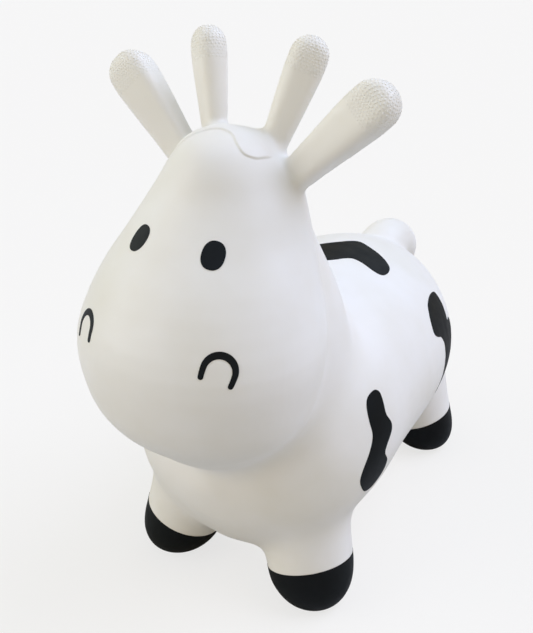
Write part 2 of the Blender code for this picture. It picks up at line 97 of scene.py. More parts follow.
class Side(Enum):
    """A side of the cow, as the sign of its X."""

    LEFT = 1
    RIGHT = -1

    @property
    def word(self) -> str:
        """The side's word in the names of pieces."""
        return self.name.lower()


class Section(Enum):
    """The cross-section that a form is drawn through."""

    OVAL = "oval"
    SOFT_BOX = "box with round corners"


# Curves through rows of measures


def between(p0: float, p1: float, p2: float, p3: float, t: float) -> float:
    """Read a smooth curve at the share t of the way from its second value to its third."""
    bend = 2 * p0 - 5 * p1 + 4 * p2 - p3
    return p1 + 0.5 * ((p2 - p0) * t + bend * t ** 2 + (3 * p1 - p0 - 3 * p2 + p3) * t ** 3)


def smooth_rows(rows: Sequence[Sequence[float]], count: int) -> list[list[float]]:
    """Read rows at even steps from a smooth curve through the given rows.

    Args:
        rows: The rows that the curve passes through.
        count: How many rows to read.

    Returns:
        The rows that were read.
    """
    before = [2 * a - b for a, b in zip(rows[0], rows[1])]
    after = [2 * a - b for a, b in zip(rows[-1], rows[-2])]
    points = [before, *rows, after]
    result = []
    for index in range(count):
        place = (len(rows) - 1) * index / (count - 1)
        start = min(int(place), len(rows) - 2)
        result.append([between(*values, place - start) for values in zip(*points[start:start + 4])])
    return result


def smooth_loop(points: Sequence[Sequence[float]], count: int) -> list[list[float]]:
    """Read points at even steps from a smooth closed curve.

    Args:
        points: The points that the curve passes through.
        count: How many points to read.

    Returns:
        The points that were read.
    """
    result = []
    for index in range(count):
        place = len(points) * index / count
        start = int(place)
        near = [points[(start + step) % len(points)] for step in (-1, 0, 1, 2)]
        result.append([between(*values, place - start) for values in zip(*near)])
    return result


def stroke(path: Sequence[Vector], width: float, end_share: float) -> list[Vector]:
    """Outline a flat stroke with round ends that it thins towards.

    Args:
        path: The middle line of the stroke.
        width: Its width in the middle.
        end_share: The share of that width that is left at its ends.

    Returns:
        The points of the closed outline.
    """
    left, right, ends = [], [], []
    for index, point in enumerate(path):
        ahead = path[min(index + 1, len(path) - 1)] - path[max(index - 1, 0)]
        off_middle = abs(2 * index / (len(path) - 1) - 1)
        half = width / 2 * (1 - (1 - end_share) * off_middle ** 2)
        across = Vector((-ahead.y, ahead.x)).normalized() * half
        left.append(point + across)
        right.append(point - across)
    for end, inner in ((path[-1], path[-2]), (path[0], path[1])):
        ahead = (end - inner).normalized() * end_share * width / 2
        across = Vector((-ahead.y, ahead.x))
        angles = [pi * step / CAP_STEPS for step in range(1, CAP_STEPS)]
        ends.append([end + across * cos(angle) + ahead * sin(angle) for angle in angles])
    return left + ends[0] + right[::-1] + ends[1]


def ease(value: float, start: float, end: float) -> float:
    """Rise smoothly from 0 to 1 as a value goes from start to end.

    Args:
        value: The value.
        start: Where the rise starts.
        end: Where it ends.

    Returns:
        The height of the rise.
    """
    share = min(1.0, max(0.0, (value - start) / (end - start)))
    return share * share * (3 - 2 * share)


# Working in Blender as by hand


def select_only(*objects: Object) -> None:
    """Select these objects alone and make the last one active.

    Args:
        objects: The objects.
    """
    bpy.ops.object.select_all(action="DESELECT")
    for obj in objects:
        obj.select_set(True)
    bpy.context.view_layer.objects.active = objects[-1]


@contextmanager
def editing(obj: Object, kind: str = "VERT") -> Iterator[None]:
    """Work on one object in edit mode with nothing selected.

    Args:
        obj: The object.
        kind: The kind of element that is selected: VERT, EDGE or FACE.
    """
    select_only(obj)
    bpy.ops.object.mode_set(mode="EDIT")
    bpy.ops.mesh.select_mode(type=kind)
    bpy.ops.mesh.select_all(action="DESELECT")
    yield
    bpy.ops.object.mode_set(mode="OBJECT")


@contextmanager
def new_mesh(name: str) -> Iterator[Object]:
    """Start an empty mesh at the origin and stay in edit mode.

    Args:
        name: The name of the new object.

    Yields:
        The new object.
    """
    bpy.ops.object.select_all(action="DESELECT")
    bpy.ops.mesh.primitive_plane_add(enter_editmode=True)
    obj = bpy.context.object
    obj.name = name
    bpy.ops.mesh.delete(type="VERT")
    yield obj
    bpy.ops.object.mode_set(mode="OBJECT")


def select_faces(obj: Object, test: Callable[[Vector], bool]) -> None:
    """Select, in edit mode, the faces whose middle passes a test.

    Args:
        obj: The object in edit mode.
        test: Says of a face's middle whether the face is wanted.
    """
    mesh = bmesh.from_edit_mesh(obj.data)
    for face in mesh.faces:
        if test(face.calc_center_median()):
            face.select_set(True)
    bmesh.update_edit_mesh(obj.data)


def apply_modifier(obj: Object, kind: str, **settings: object) -> None:
    """Give an object a modifier and apply it.

    Args:
        obj: The object.
        kind: The modifier's type.
        settings: The modifier's settings.
    """
    select_only(obj)
    modifier = obj.modifiers.new(kind.lower(), kind)
    for key, value in settings.items():
        setattr(modifier, key, value)
    bpy.ops.object.modifier_apply(modifier=modifier.name)


def place(obj: Object, matrix: Matrix) -> None:
    """Move an object and settle the move in its mesh.

    Args:
        obj: The object.
        matrix: Where its origin and axes go.
    """
    select_only(obj)
    obj.matrix_world = matrix
    bpy.ops.object.transform_apply(location=True, rotation=True, scale=True)


def axes(across: Vector, rise: Vector, outward: Vector, origin: Vector) -> Matrix:
    """The matrix that sends X, Y and Z to these directions at an origin."""
    turn = Matrix((across.normalized(), rise.normalized(), outward.normalized())).transposed()
    return Matrix.Translation(origin) @ turn.to_4x4()


def join(name: str, objects: Sequence[Object]) -> Object:
    """Join objects into one.

    Args:
        name: The name of the joined object.
        objects: The objects.

    Returns:
        The joined object.
    """
    select_only(*objects)
    bpy.ops.object.join()
    joined = bpy.context.object
    joined.name = name
    return joined


def remove(obj: Object) -> None:
    """Delete a helper object."""
    select_only(obj)
    bpy.ops.object.delete()


def turn_outward() -> None:
    """Turn all faces of the mesh in edit mode outward."""
    bpy.ops.mesh.select_all(action="SELECT")
    bpy.ops.mesh.normals_make_consistent(inside=False)


def search_tree(obj: Object) -> BVHTree:
    """A tree that finds the nearest point and the first hit on an object."""
    bpy.context.view_layer.update()
    return BVHTree.FromObject(obj, bpy.context.evaluated_depsgraph_get())


@dataclass(frozen=True)
class Ring:
    """One cross-section of a form.

    Attributes:
        centre: Its middle.
        half: Half its size along X, Y and Z, or 1 across its own plane.
        pitch: How far it is turned about X from level.
    """

    centre: Vector
    half: Vector
    pitch: float = 0.0


def draw_form(name: str, rings: Sequence[Ring], section: Section, corner: float = 0.4) -> Object:
    """Draw a closed form through rings: bridge them and close both ends.

    Args:
        name: The name of the new object.
        rings: The rings in order.
        section: The shape of each ring.
        corner: For a soft box, its corner radius as a share of its shorter side.

    Returns:
        The form.
    """
    with new_mesh(name) as obj:
        for ring in rings:
            bpy.ops.mesh.select_all(action="DESELECT")
            at = {"location": ring.centre, "rotation": (ring.pitch, 0, 0)}
            if section is Section.OVAL:
                bpy.ops.mesh.primitive_circle_add(vertices=OVAL_SIDES, radius=1, **at)
            else:
                bpy.ops.mesh.primitive_plane_add(size=2, **at)
            bpy.ops.transform.resize(value=ring.half, center_override=ring.centre)
            if section is Section.SOFT_BOX:
                radius = 2 * corner * min(ring.half.x, ring.half.y)
                bpy.ops.mesh.bevel(
                    offset=radius, segments=CORNER_STEPS, affect="VERTICES", clamp_overlap=False)
                bpy.ops.mesh.delete(type="ONLY_FACE")
        bpy.ops.mesh.select_mode(type="EDGE")
        bpy.ops.mesh.select_all(action="SELECT")
        bpy.ops.mesh.bridge_edge_loops()
        bpy.ops.mesh.select_all(action="SELECT")
        bpy.ops.mesh.fill_holes(sides=0)
        turn_outward()
    return obj


# Finishes


def linear(code: str) -> tuple[float, float, float, float]:
    """Turn an sRGB hex colour into Blender's linear colour.

    Args:
        code: The colour as #RRGGBB.

    Returns:
        Its linear red, green, blue and an alpha of 1.
    """
    shares = [int(code[start:start + 2], 16) / 255 for start in (1, 3, 5)]
    red, green, blue = (s / 12.92 if s <= 0.04045 else ((s + 0.055) / 1.055) ** 2.4 for s in shares)
    return red, green, blue, 1.0


def add_node(
    tree: NodeTree,
    kind: str,
    links: dict[str | int, NodeSocket] | None = None,
    values: dict[str | int, object] | None = None,
    **settings: object,
) -> Node:
    """Add a node with its settings, values and links.

    Args:
        tree: The node tree.
        kind: The node's type.
        links: The output that feeds each named input.
        values: The value of each named input.
        settings: The node's own settings.

    Returns:
        The node.
    """
    node = tree.nodes.new(kind)
    for key, value in settings.items():
        setattr(node, key, value)
    for key, value in (values or {}).items():
        node.inputs[key].default_value = value
    for key, output in (links or {}).items():
        tree.links.new(output, node.inputs[key])
    return node


def mix_colours(tree: NodeTree, share: NodeSocket, low: object, high: object) -> NodeSocket:
    """Mix two colours.

    Args:
        tree: The node tree.
        share: The output that gives the second colour's share.
        low: The first colour, or the output that gives it.
        high: The second colour, or the output that gives it.

    Returns:
        The mixed colour's output.
    """
    node = add_node(tree, "ShaderNodeMix", {"Factor": share}, data_type="RGBA")
    for name, colour in (("A_Color", low), ("B_Color", high)):
        socket = next(each for each in node.inputs if each.identifier == name)
        if isinstance(colour, NodeSocket):
            tree.links.new(colour, socket)
        else:
            socket.default_value = colour
    return next(each for each in node.outputs if each.identifier == "Result_Color")


@dataclass(frozen=True)
class SoftPlastic:
    """What all the cow's soft plastics share: colour drift, grain and uneven gloss.

    Attributes:
        name: The material's name.
        colour: Its colour.
        drift: The colour that it drifts to in broad soft patches.
        patch: The size of those patches.
        grain: The size of the surface grain.
        grain_depth: The depth of the grain.
        wave: The size of the slow waves that moulding leaves.
        wave_depth: The depth of the waves.
        roughness: The lowest and highest roughness.
        ior: The index of refraction.
        shine: How strongly it mirrors at a straight look; 0.5 is plain for its ior.
        softness: How much light passes under the surface.
    """

    name: str
    colour: str
    drift: str
    patch: float
    grain: float
    grain_depth: float
    wave: float
    wave_depth: float
    roughness: tuple[float, float]
    ior: float = 1.53
    shine: float = 0.5
    softness: float = 0.0

    def colour_output(self, tree: NodeTree, position: NodeSocket) -> NodeSocket:
        """Mix the colour and its drift in broad patches.

        Args:
            tree: The node tree.
            position: The object's coordinates.

        Returns:
            The colour output.
        """
        patches = add_node(tree, "ShaderNodeTexNoise", {"Vector": position},
                           {"Scale": 1 / self.patch, "Detail": 3.0, "Roughness": 0.45})
        share = add_node(tree, "ShaderNodeMapRange", {"Value": patches.outputs["Fac"]},
                         {"From Min": 0.35, "From Max": 0.68})
        return mix_colours(tree, share.outputs["Result"], linear(self.colour), linear(self.drift))

    def build(self) -> Material:
        """Build the node material.

        Returns:
            The material.
        """
        material = bpy.data.materials.new(self.name)
        material.use_nodes = True
        tree = material.node_tree
        shader = tree.nodes["Principled BSDF"]
        position = add_node(tree, "ShaderNodeTexCoord").outputs["Object"]
        tree.links.new(self.colour_output(tree, position), shader.inputs["Base Color"])
        gloss = add_node(tree, "ShaderNodeTexNoise", {"Vector": position},
                         {"Scale": 2 / self.patch, "Detail": 4.0})
        low, high = self.roughness
        rough = add_node(tree, "ShaderNodeMapRange", {"Value": gloss.outputs["Fac"]},
                         {"From Min": 0.3, "From Max": 0.7, "To Min": low, "To Max": high})
        tree.links.new(rough.outputs["Result"], shader.inputs["Roughness"])
        waves = add_node(tree, "ShaderNodeTexNoise", {"Vector": position},
                         {"Scale": 1 / self.wave, "Detail": 1.0})
        swell = add_node(tree, "ShaderNodeBump", {"Height": waves.outputs["Fac"]},
                         {"Strength": 1.0, "Distance": self.wave_depth})
        grain = add_node(tree, "ShaderNodeTexNoise", {"Vector": position},
                         {"Scale": 1 / self.grain, "Detail": 2.0})
        relief = add_node(tree, "ShaderNodeBump",
                          {"Height": grain.outputs["Fac"], "Normal": swell.outputs["Normal"]},
                          {"Strength": 1.0, "Distance": self.grain_depth})
        tree.links.new(relief.outputs["Normal"], shader.inputs["Normal"])
        shader.inputs["Metallic"].default_value = 0.0
        shader.inputs["IOR"].default_value = self.ior
        shader.inputs["Specular IOR Level"].default_value = self.shine
        if self.softness:
            shader.inputs["Subsurface Weight"].default_value = self.softness
            shader.inputs["Subsurface Radius"].default_value = (1.0, 0.9, 0.8)
            shader.inputs["Subsurface Scale"].default_value = 2.5 * MILLIMETRE
        return material


@dataclass(frozen=True)
class GripWarmLightPlastic(SoftPlastic):
    """Soft plastic that turns creamier towards the tips of the ears and horns: painted warm light.

    Attributes:
        tip_warm_light: The painted warm light colour at the tips.
        warm_light_start: The height where the painted warm light starts.
        warm_light_end: The height where it is full.
    """

    tip_warm_light: str = "#ECE9E2"
    warm_light_start: float = 0.43
    warm_light_end: float = 0.48

    def colour_output(self, tree: NodeTree, position: NodeSocket) -> NodeSocket:
        """Mix the drifting colour with the painted warm light of the tips by height.

        Args:
            tree: The node tree.
            position: The object's coordinates.

        Returns:
            The colour output.
        """
        plain = super().colour_output(tree, position)
        split = add_node(tree, "ShaderNodeSeparateXYZ", {"Vector": position})
        painted_warm_light = add_node(tree, "ShaderNodeMapRange", {"Value": split.outputs["Z"]},
                        {"From Min": self.warm_light_start, "From Max": self.warm_light_end},
                        interpolation_type="SMOOTHSTEP")
        return mix_colours(tree, painted_warm_light.outputs["Result"], plain, linear(self.tip_warm_light))


# Plasticised PVC from a closed rotating mould: an even satin white, softly waved, with a
# matt grain of about 0.4 mm that is drawn four times coarser so that it shows at all
# Towards the tips of the ears and horns its colour turns creamier: painted warm light, from the
# defaults of its class
SKIN_FINISH = GripWarmLightPlastic(
    name="rotomoulded_soft_white_pvc", colour="#ECEAE7", drift="#E6E3DC", patch=70 * MILLIMETRE,
    grain=1.6 * MILLIMETRE, grain_depth=0.012 * MILLIMETRE, wave=28 * MILLIMETRE,
    wave_depth=0.25 * MILLIMETRE, roughness=(0.42, 0.52), softness=0.06)
# Soft PVC lacquer sprayed through a mask: dark slate, duller than the skin, with the orange
# peel of a sprayed coat
COAT_FINISH = SoftPlastic(
    name="sprayed_slate_black_pvc_lacquer", colour="#090C0E", drift="#0E1215",
    patch=30 * MILLIMETRE,
    grain=1.8 * MILLIMETRE, grain_depth=0.02 * MILLIMETRE, wave=20 * MILLIMETRE,
    wave_depth=0.15 * MILLIMETRE, roughness=(0.50, 0.60), shine=0.11)
# The same lacquer laid thin by a pad: flatter, with a finer grain
PRINT_FINISH = SoftPlastic(
    name="pad_printed_slate_black_pvc_ink", colour="#0D1115", drift="#11161A",
    patch=12 * MILLIMETRE,
    grain=1.2 * MILLIMETRE, grain_depth=0.008 * MILLIMETRE, wave=16 * MILLIMETRE,
    wave_depth=0.05 * MILLIMETRE, roughness=(0.50, 0.58), shine=0.16)
# Injection moulded clear PVC gone milky: glossy and a little see-through
PLUG_FINISH = SoftPlastic(
    name="injection_moulded_milky_pvc", colour="#C3C5C2", drift="#B7BAB7", patch=6 * MILLIMETRE,
    grain=1.0 * MILLIMETRE, grain_depth=0.004 * MILLIMETRE, wave=6 * MILLIMETRE,
    wave_depth=0.02 * MILLIMETRE, roughness=(0.22, 0.3), softness=0.3)


def finish_piece(
    obj: Object, material: Material, slot: str, *nodes: str, angle: float = 40.0
) -> None:
    """Dress a piece, shade it smooth and hang it on the frame.

    Args:
        obj: The piece.
        material: Its material.
        slot: The record's slot; not used.
        nodes: The CAD nodes that it stands for.
        angle: Edges sharper than this, in degrees, stay sharp.
    """
    obj.data.materials.clear()
    obj.data.materials.append(material)
    select_only(obj)
    bpy.ops.object.shade_smooth_by_angle(angle=radians(angle))
    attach(obj, BODY_NAME)
    if nodes:
        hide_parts(*nodes)
    log.info("%s: %d faces, stands for %s", obj.name, len(obj.data.polygons), nodes or "no node")


# Sub-assemblies


@dataclass(frozen=True)
class Leg:
    """Where a leg stands and how it rises.

    Attributes:
        name: The word that tells it from the other leg of its side.
        apart: Its sole's distance from the middle.
        back: Its sole's distance behind the chest.
        lean: How far it leans rearward over its height.
        inward: How far it leans inward over its height.
        flare: How much wider it gets over its height, as a share.
    """

    name: str
    apart: float
    back: float
    lean: float
    inward: float
    flare: float


@dataclass
class Body:
    """The barrel of the body, its legs and its tail."""

    length: float = 0.418
    width: float = 0.262
    depth: float = 0.234
    axis_height: float = 0.167
    chest: float = -0.1910
    front_leg: Leg = Leg("front", 0.080, 0.068, 0.020, 0.032, 0.17)
    rear_leg: Leg = Leg("rear", 0.0855, 0.367, 0.0, 0.038, 0.0)
    leg_width: float = 0.082
    leg_height: float = 0.150
    sole: float = 0.0004
    tail_root: tuple[float, float] = (0.358, 0.198)
    tail_length: float = 0.088
    tail_width: float = 0.060

    # Place along, rise of the middle, width, depth
    BARREL = (
        (0.000, -0.085, 0.05, 0.05), (0.040, -0.090, 0.48, 0.45), (0.117, -0.080, 0.82, 0.83),
        (0.245, -0.015, 0.98, 0.98), (0.400, 0.032, 1.00, 0.958), (0.590, 0.031, 0.995, 0.938),
        (0.750, 0.013, 0.915, 0.915), (0.875, -0.010, 0.735, 0.82), (0.965, 0.000, 0.47, 0.56),
        (1.000, 0.015, 0.05, 0.07))
    # Place up, width
    LEG = (
        (0.000, 0.46), (0.020, 0.615), (0.065, 0.795), (0.145, 0.94), (0.240, 0.99), (0.370, 0.98),
        (0.530, 0.98), (0.760, 1.02), (1.000, 1.05))
    # Place along, rise, width
    TAIL = (
        (0.00, 0.00, 1.00), (0.30, 0.25, 0.98), (0.62, 0.29, 0.94), (0.92, 0.15, 0.87),
        (0.95, 0.00, 0.80))

    def point(self, back: float, rise: float) -> Vector:
        """The point this far behind the chest and this share of the depth above the axis."""
        return Vector((0, self.chest + back, self.axis_height + rise * self.depth))

    def barrel(self) -> Object:
        """Draw the barrel from chest to rump."""
        rings = []
        for along, rise, width, depth in smooth_rows(self.BARREL, RING_COUNT):
            half = Vector((width * self.width / 2, 1, depth * self.depth / 2))
            rings.append(Ring(self.point(along * self.length, rise), half, -pi / 2))
        return draw_form("barrel", rings, Section.OVAL)

    def foot(self, side: Side, leg: Leg) -> Vector:
        """The middle of a leg's sole."""
        return Vector((side.value * leg.apart, self.chest + leg.back, self.sole))

    def leg(self, side: Side, leg: Leg) -> Object:
        """Draw one leg from its sole up into the barrel.

        Args:
            side: The side that it is on.
            leg: Where it stands and how it rises.

        Returns:
            The leg.
        """
        rings = []
        for along, width in smooth_rows(self.LEG, RING_COUNT):
            inward = -side.value * along * leg.inward
            rise = Vector((inward, along * leg.lean, along * self.leg_height))
            half = width * (1 + along * leg.flare) * self.leg_width / 2
            rings.append(Ring(self.foot(side, leg) + rise, Vector((half, half, 1))))
        return draw_form("leg", rings, Section.OVAL)

    def tail(self) -> Object:
        """Draw the stub of a tail that arches off the rump and droops."""
        rows = smooth_rows(self.TAIL, TAIL_RINGS)
        root = self.point(*self.tail_root)
        reach = self.tail_length
        points = [root + (REARWARD * along + UP * rise) * reach for along, rise, _ in rows]
        rings = []
        for index, point in enumerate(points):
            ahead = points[min(index + 1, len(points) - 1)] - points[max(index - 1, 0)]
            half = rows[index][2] * self.tail_width / 2
            rings.append((point, half, atan2(-ahead.y, ahead.z)))
        end, blunt, pitch = rings[-1]
        ahead = (points[-1] - points[-2]).normalized()
        for step in range(1, TAIL_END_RINGS):
            angle = step / TAIL_END_RINGS * pi / 2
            rings.append((end + ahead * blunt * sin(angle), blunt * cos(angle), pitch))
        drawn = [Ring(centre, Vector((half, half, half)), pitch) for centre, half, pitch in rings]
        return draw_form("tail", drawn, Section.OVAL)

    def forms(self) -> list[Object]:
        """Draw the barrel and the four legs."""
        legs = [self.leg(side, leg) for side in Side for leg in (self.front_leg, self.rear_leg)]
        return [self.barrel(), *legs]


@dataclass
class Head:
    """The head and the neck behind it."""

    chin: float = 0.149
    height: float = 0.297
    width: float = 0.204
    depth: float = 0.184
    axis: float = -0.1530
    neck_width: float = 0.194
    neck_depth: float = 0.164
    neck_foot: float = 0.108
    neck_height: float = 0.330
    neck_axis: float = -0.1000

    # Place up, place back of the middle, width, depth
    HEAD = (
        (0.000, 0.020, 0.04, 0.06), (0.090, -0.030, 0.45, 0.48), (0.187, -0.085, 0.70, 0.72),
        (0.270, -0.145, 0.87, 0.86), (0.370, -0.170, 0.96, 0.96), (0.510, -0.170, 1.00, 0.99),
        (0.657, -0.110, 0.87, 0.90), (0.783, -0.005, 0.69, 0.78), (0.883, 0.060, 0.54, 0.67),
        (0.950, 0.045, 0.41, 0.53), (1.003, 0.035, 0.27, 0.36), (1.032, 0.030, 0.05, 0.06))
    NECK = (
        (0.000, 0.10, 0.05, 0.04), (0.060, 0.10, 0.57, 0.64), (0.225, 0.02, 0.98, 1.04),
        (0.390, -0.05, 0.98, 1.08), (0.580, -0.09, 0.85, 0.99), (0.770, -0.11, 0.57, 0.72),
        (0.925, -0.14, 0.40, 0.57), (1.000, -0.16, 0.04, 0.04))

    def point(self, across: float, back: float, up: float) -> Vector:
        """The point at these shares of the head's width, depth and height."""
        y = self.axis + back * self.depth
        return Vector((across * self.width, y, self.chin + up * self.height))

    def stack(
        self, name: str, rows: Sequence[Sequence[float]], foot: float, size: Vector, axis: float
    ) -> Object:
        """Draw a form through level ovals stacked up.

        Args:
            name: The name of the form.
            rows: Its rows of measures, as shares.
            foot: The height of its lowest point.
            size: Its width, depth and height.
            axis: Where its middle line stands along Y.

        Returns:
            The form.
        """
        rings = []
        for along, back, broad, deep in smooth_rows(rows, RING_COUNT):
            centre = Vector((0, axis + back * size.y, foot + along * size.z))
            rings.append(Ring(centre, Vector((broad * size.x / 2, deep * size.y / 2, 1))))
        return draw_form(name, rings, Section.OVAL)

    def forms(self) -> list[Object]:
        """Draw the head and the neck."""
        head = Vector((self.width, self.depth, self.height))
        neck = Vector((self.neck_width, self.neck_depth, self.neck_height))
        return [
            self.stack("head", self.HEAD, self.chin, head, self.axis),
            self.stack("neck", self.NECK, self.neck_foot, neck, self.neck_axis),
        ]


@dataclass
class Grip:
    """An ear or a horn: a flat finger with a round tip that is studded with small nubs.

    Attributes:
        name: Its name.
        side: The side of the head that it is on.
        root: Its root, in shares of the head's size.
        lean: The direction that it points in.
        turn: How far its flat face turns outward as it faces forward.
        length: Its length up to where the tip starts to round.
        width: Its full width.
        thickness: Its full thickness.
        corner: The radius of its long edges, as a share of its thickness.
        bluntness: The power that blunts the tip's thickness; 1 is round.
        nub_field: How far the nubs reach down from where the tip starts to round.
        nub_pitch: The distance between nubs.
        nub_radius: The radius of a nub's foot.
        nub_height: How far a nub stands proud at the tip.
        nub_fade: The share of that height that the lowest nubs have.
        nub_full: How far above the round's start they are full, as a share of their field.
    """

    name: str
    side: Side
    root: tuple[float, float, float]
    lean: tuple[float, float, float]
    turn: float
    length: float
    width: float
    thickness: float
    corner: float
    bluntness: float = 0.7
    nub_field: float = 13 * MILLIMETRE
    nub_pitch: float = 2.8 * MILLIMETRE
    nub_radius: float = 0.95 * MILLIMETRE
    nub_height: float = 0.30 * MILLIMETRE
    nub_fade: float = 0.30
    nub_full: float = 0.6

    # Place along, width
    TAPER = ((0.00, 0.70), (0.30, 0.78), (0.60, 0.91), (0.85, 1.00), (1.00, 1.00))

    def frame(self, head: Head) -> Matrix:
        """The grip's own axes: X across it, Y out of its front face and Z along it.

        Args:
            head: The head that it grows from.

        Returns:
            The matrix of its axes.
        """
        sign = self.side.value
        start = head.point(sign * self.root[0], self.root[1], self.root[2])
        along = Vector((sign * self.lean[0], self.lean[1], self.lean[2])).normalized()
        across = along.cross(REARWARD - Vector((sign * self.turn, 0, 0))).normalized()
        return axes(across, along.cross(across), along, start)

    def form(self, head: Head) -> Object:
        """Draw the finger, with its tip round in outline and blunt in thickness.

        Args:
            head: The head that it grows from.

        Returns:
            The form, in place.
        """
        rings = []
        for along, share in smooth_rows(self.TAPER, GRIP_RINGS):
            half = Vector((share * self.width / 2, share * self.thickness / 2, 1))
            rings.append(Ring(UP * along * self.length, half))
        for step in range(1, TIP_RINGS):
            angle = step / TIP_RINGS * pi / 2
            thick = self.thickness / 2 * cos(angle) ** self.bluntness
            half = Vector((self.width / 2 * cos(angle), thick, 1))
            rings.append(Ring(UP * (self.length + self.width / 2 * sin(angle)), half))
        form = draw_form(self.name, rings, Section.SOFT_BOX, self.corner)
        place(form, self.frame(head))
        return form

    def nub_aims(self) -> list[tuple[Vector, Vector]]:
        """Where the nubs are looked for: points of the grip's middle line and ways out of it.

        Returns:
            A start and a direction for each nub, in staggered rings up to the tip.
        """
        row = self.nub_pitch * sin(pi / 3)
        half = (self.width + self.thickness) / 4
        low = range(round(self.nub_field / row), 0, -1)
        straight = [(self.length - row * step, 0.0) for step in low]
        steps = round(pi / 2 * half / row)
        dome = [(self.length, pi / 2 * step / steps) for step in range(steps + 1)]
        aims = []
        for index, (height, rise) in enumerate(straight + dome):
            count = max(1, round(2 * pi * half * cos(rise) / self.nub_pitch))
            for step in range(count):
                angle = 2 * pi * (step + index % 2 / 2) / count
                out = Vector((cos(angle) * cos(rise), sin(angle) * cos(rise), sin(rise)))
                aims.append((Vector((0, 0, height)), out))
        return aims

    def nubs(self, head: Head, skin: Object) -> Object:
        """Set rings of nubs round the tip, each standing square on the skin.

        Args:
            head: The head that the grip grows from.
            skin: The skin that the nubs stand on.

        Returns:
            All the grip's nubs as one piece.
        """
        bpy.ops.mesh.primitive_uv_sphere_add(segments=8, ring_count=6, radius=self.nub_radius)
        nub = bpy.context.object
        with editing(nub):
            bpy.ops.mesh.select_all(action="SELECT")
            flat = self.nub_height / self.nub_radius
            bpy.ops.transform.resize(value=(1, 1, flat), center_override=(0, 0, 0))
        tree = search_tree(skin)
        frame = self.frame(head)
        made = []
        for start, out in self.nub_aims():
            away = frame @ (start + out * self.width)
            point, normal = tree.ray_cast(away, frame.to_3x3() @ -out)[:2]
            copy = nub.copy()
            bpy.context.collection.objects.link(copy)
            above = start.z + out.z * self.width / 2 - self.length
            fade = ease(above / self.nub_field, -1.0, self.nub_full)
            square = normal.to_track_quat("Z", "Y").to_matrix().to_4x4()
            proud = Matrix.Scale(self.nub_fade + (1 - self.nub_fade) * fade, 4, UP)
            copy.matrix_world = Matrix.Translation(point) @ square @ proud
            made.append(copy)
        remove(nub)
        nubs = join(f"nubs_{self.name}", made)
        place(nubs, nubs.matrix_world.copy())
        return nubs


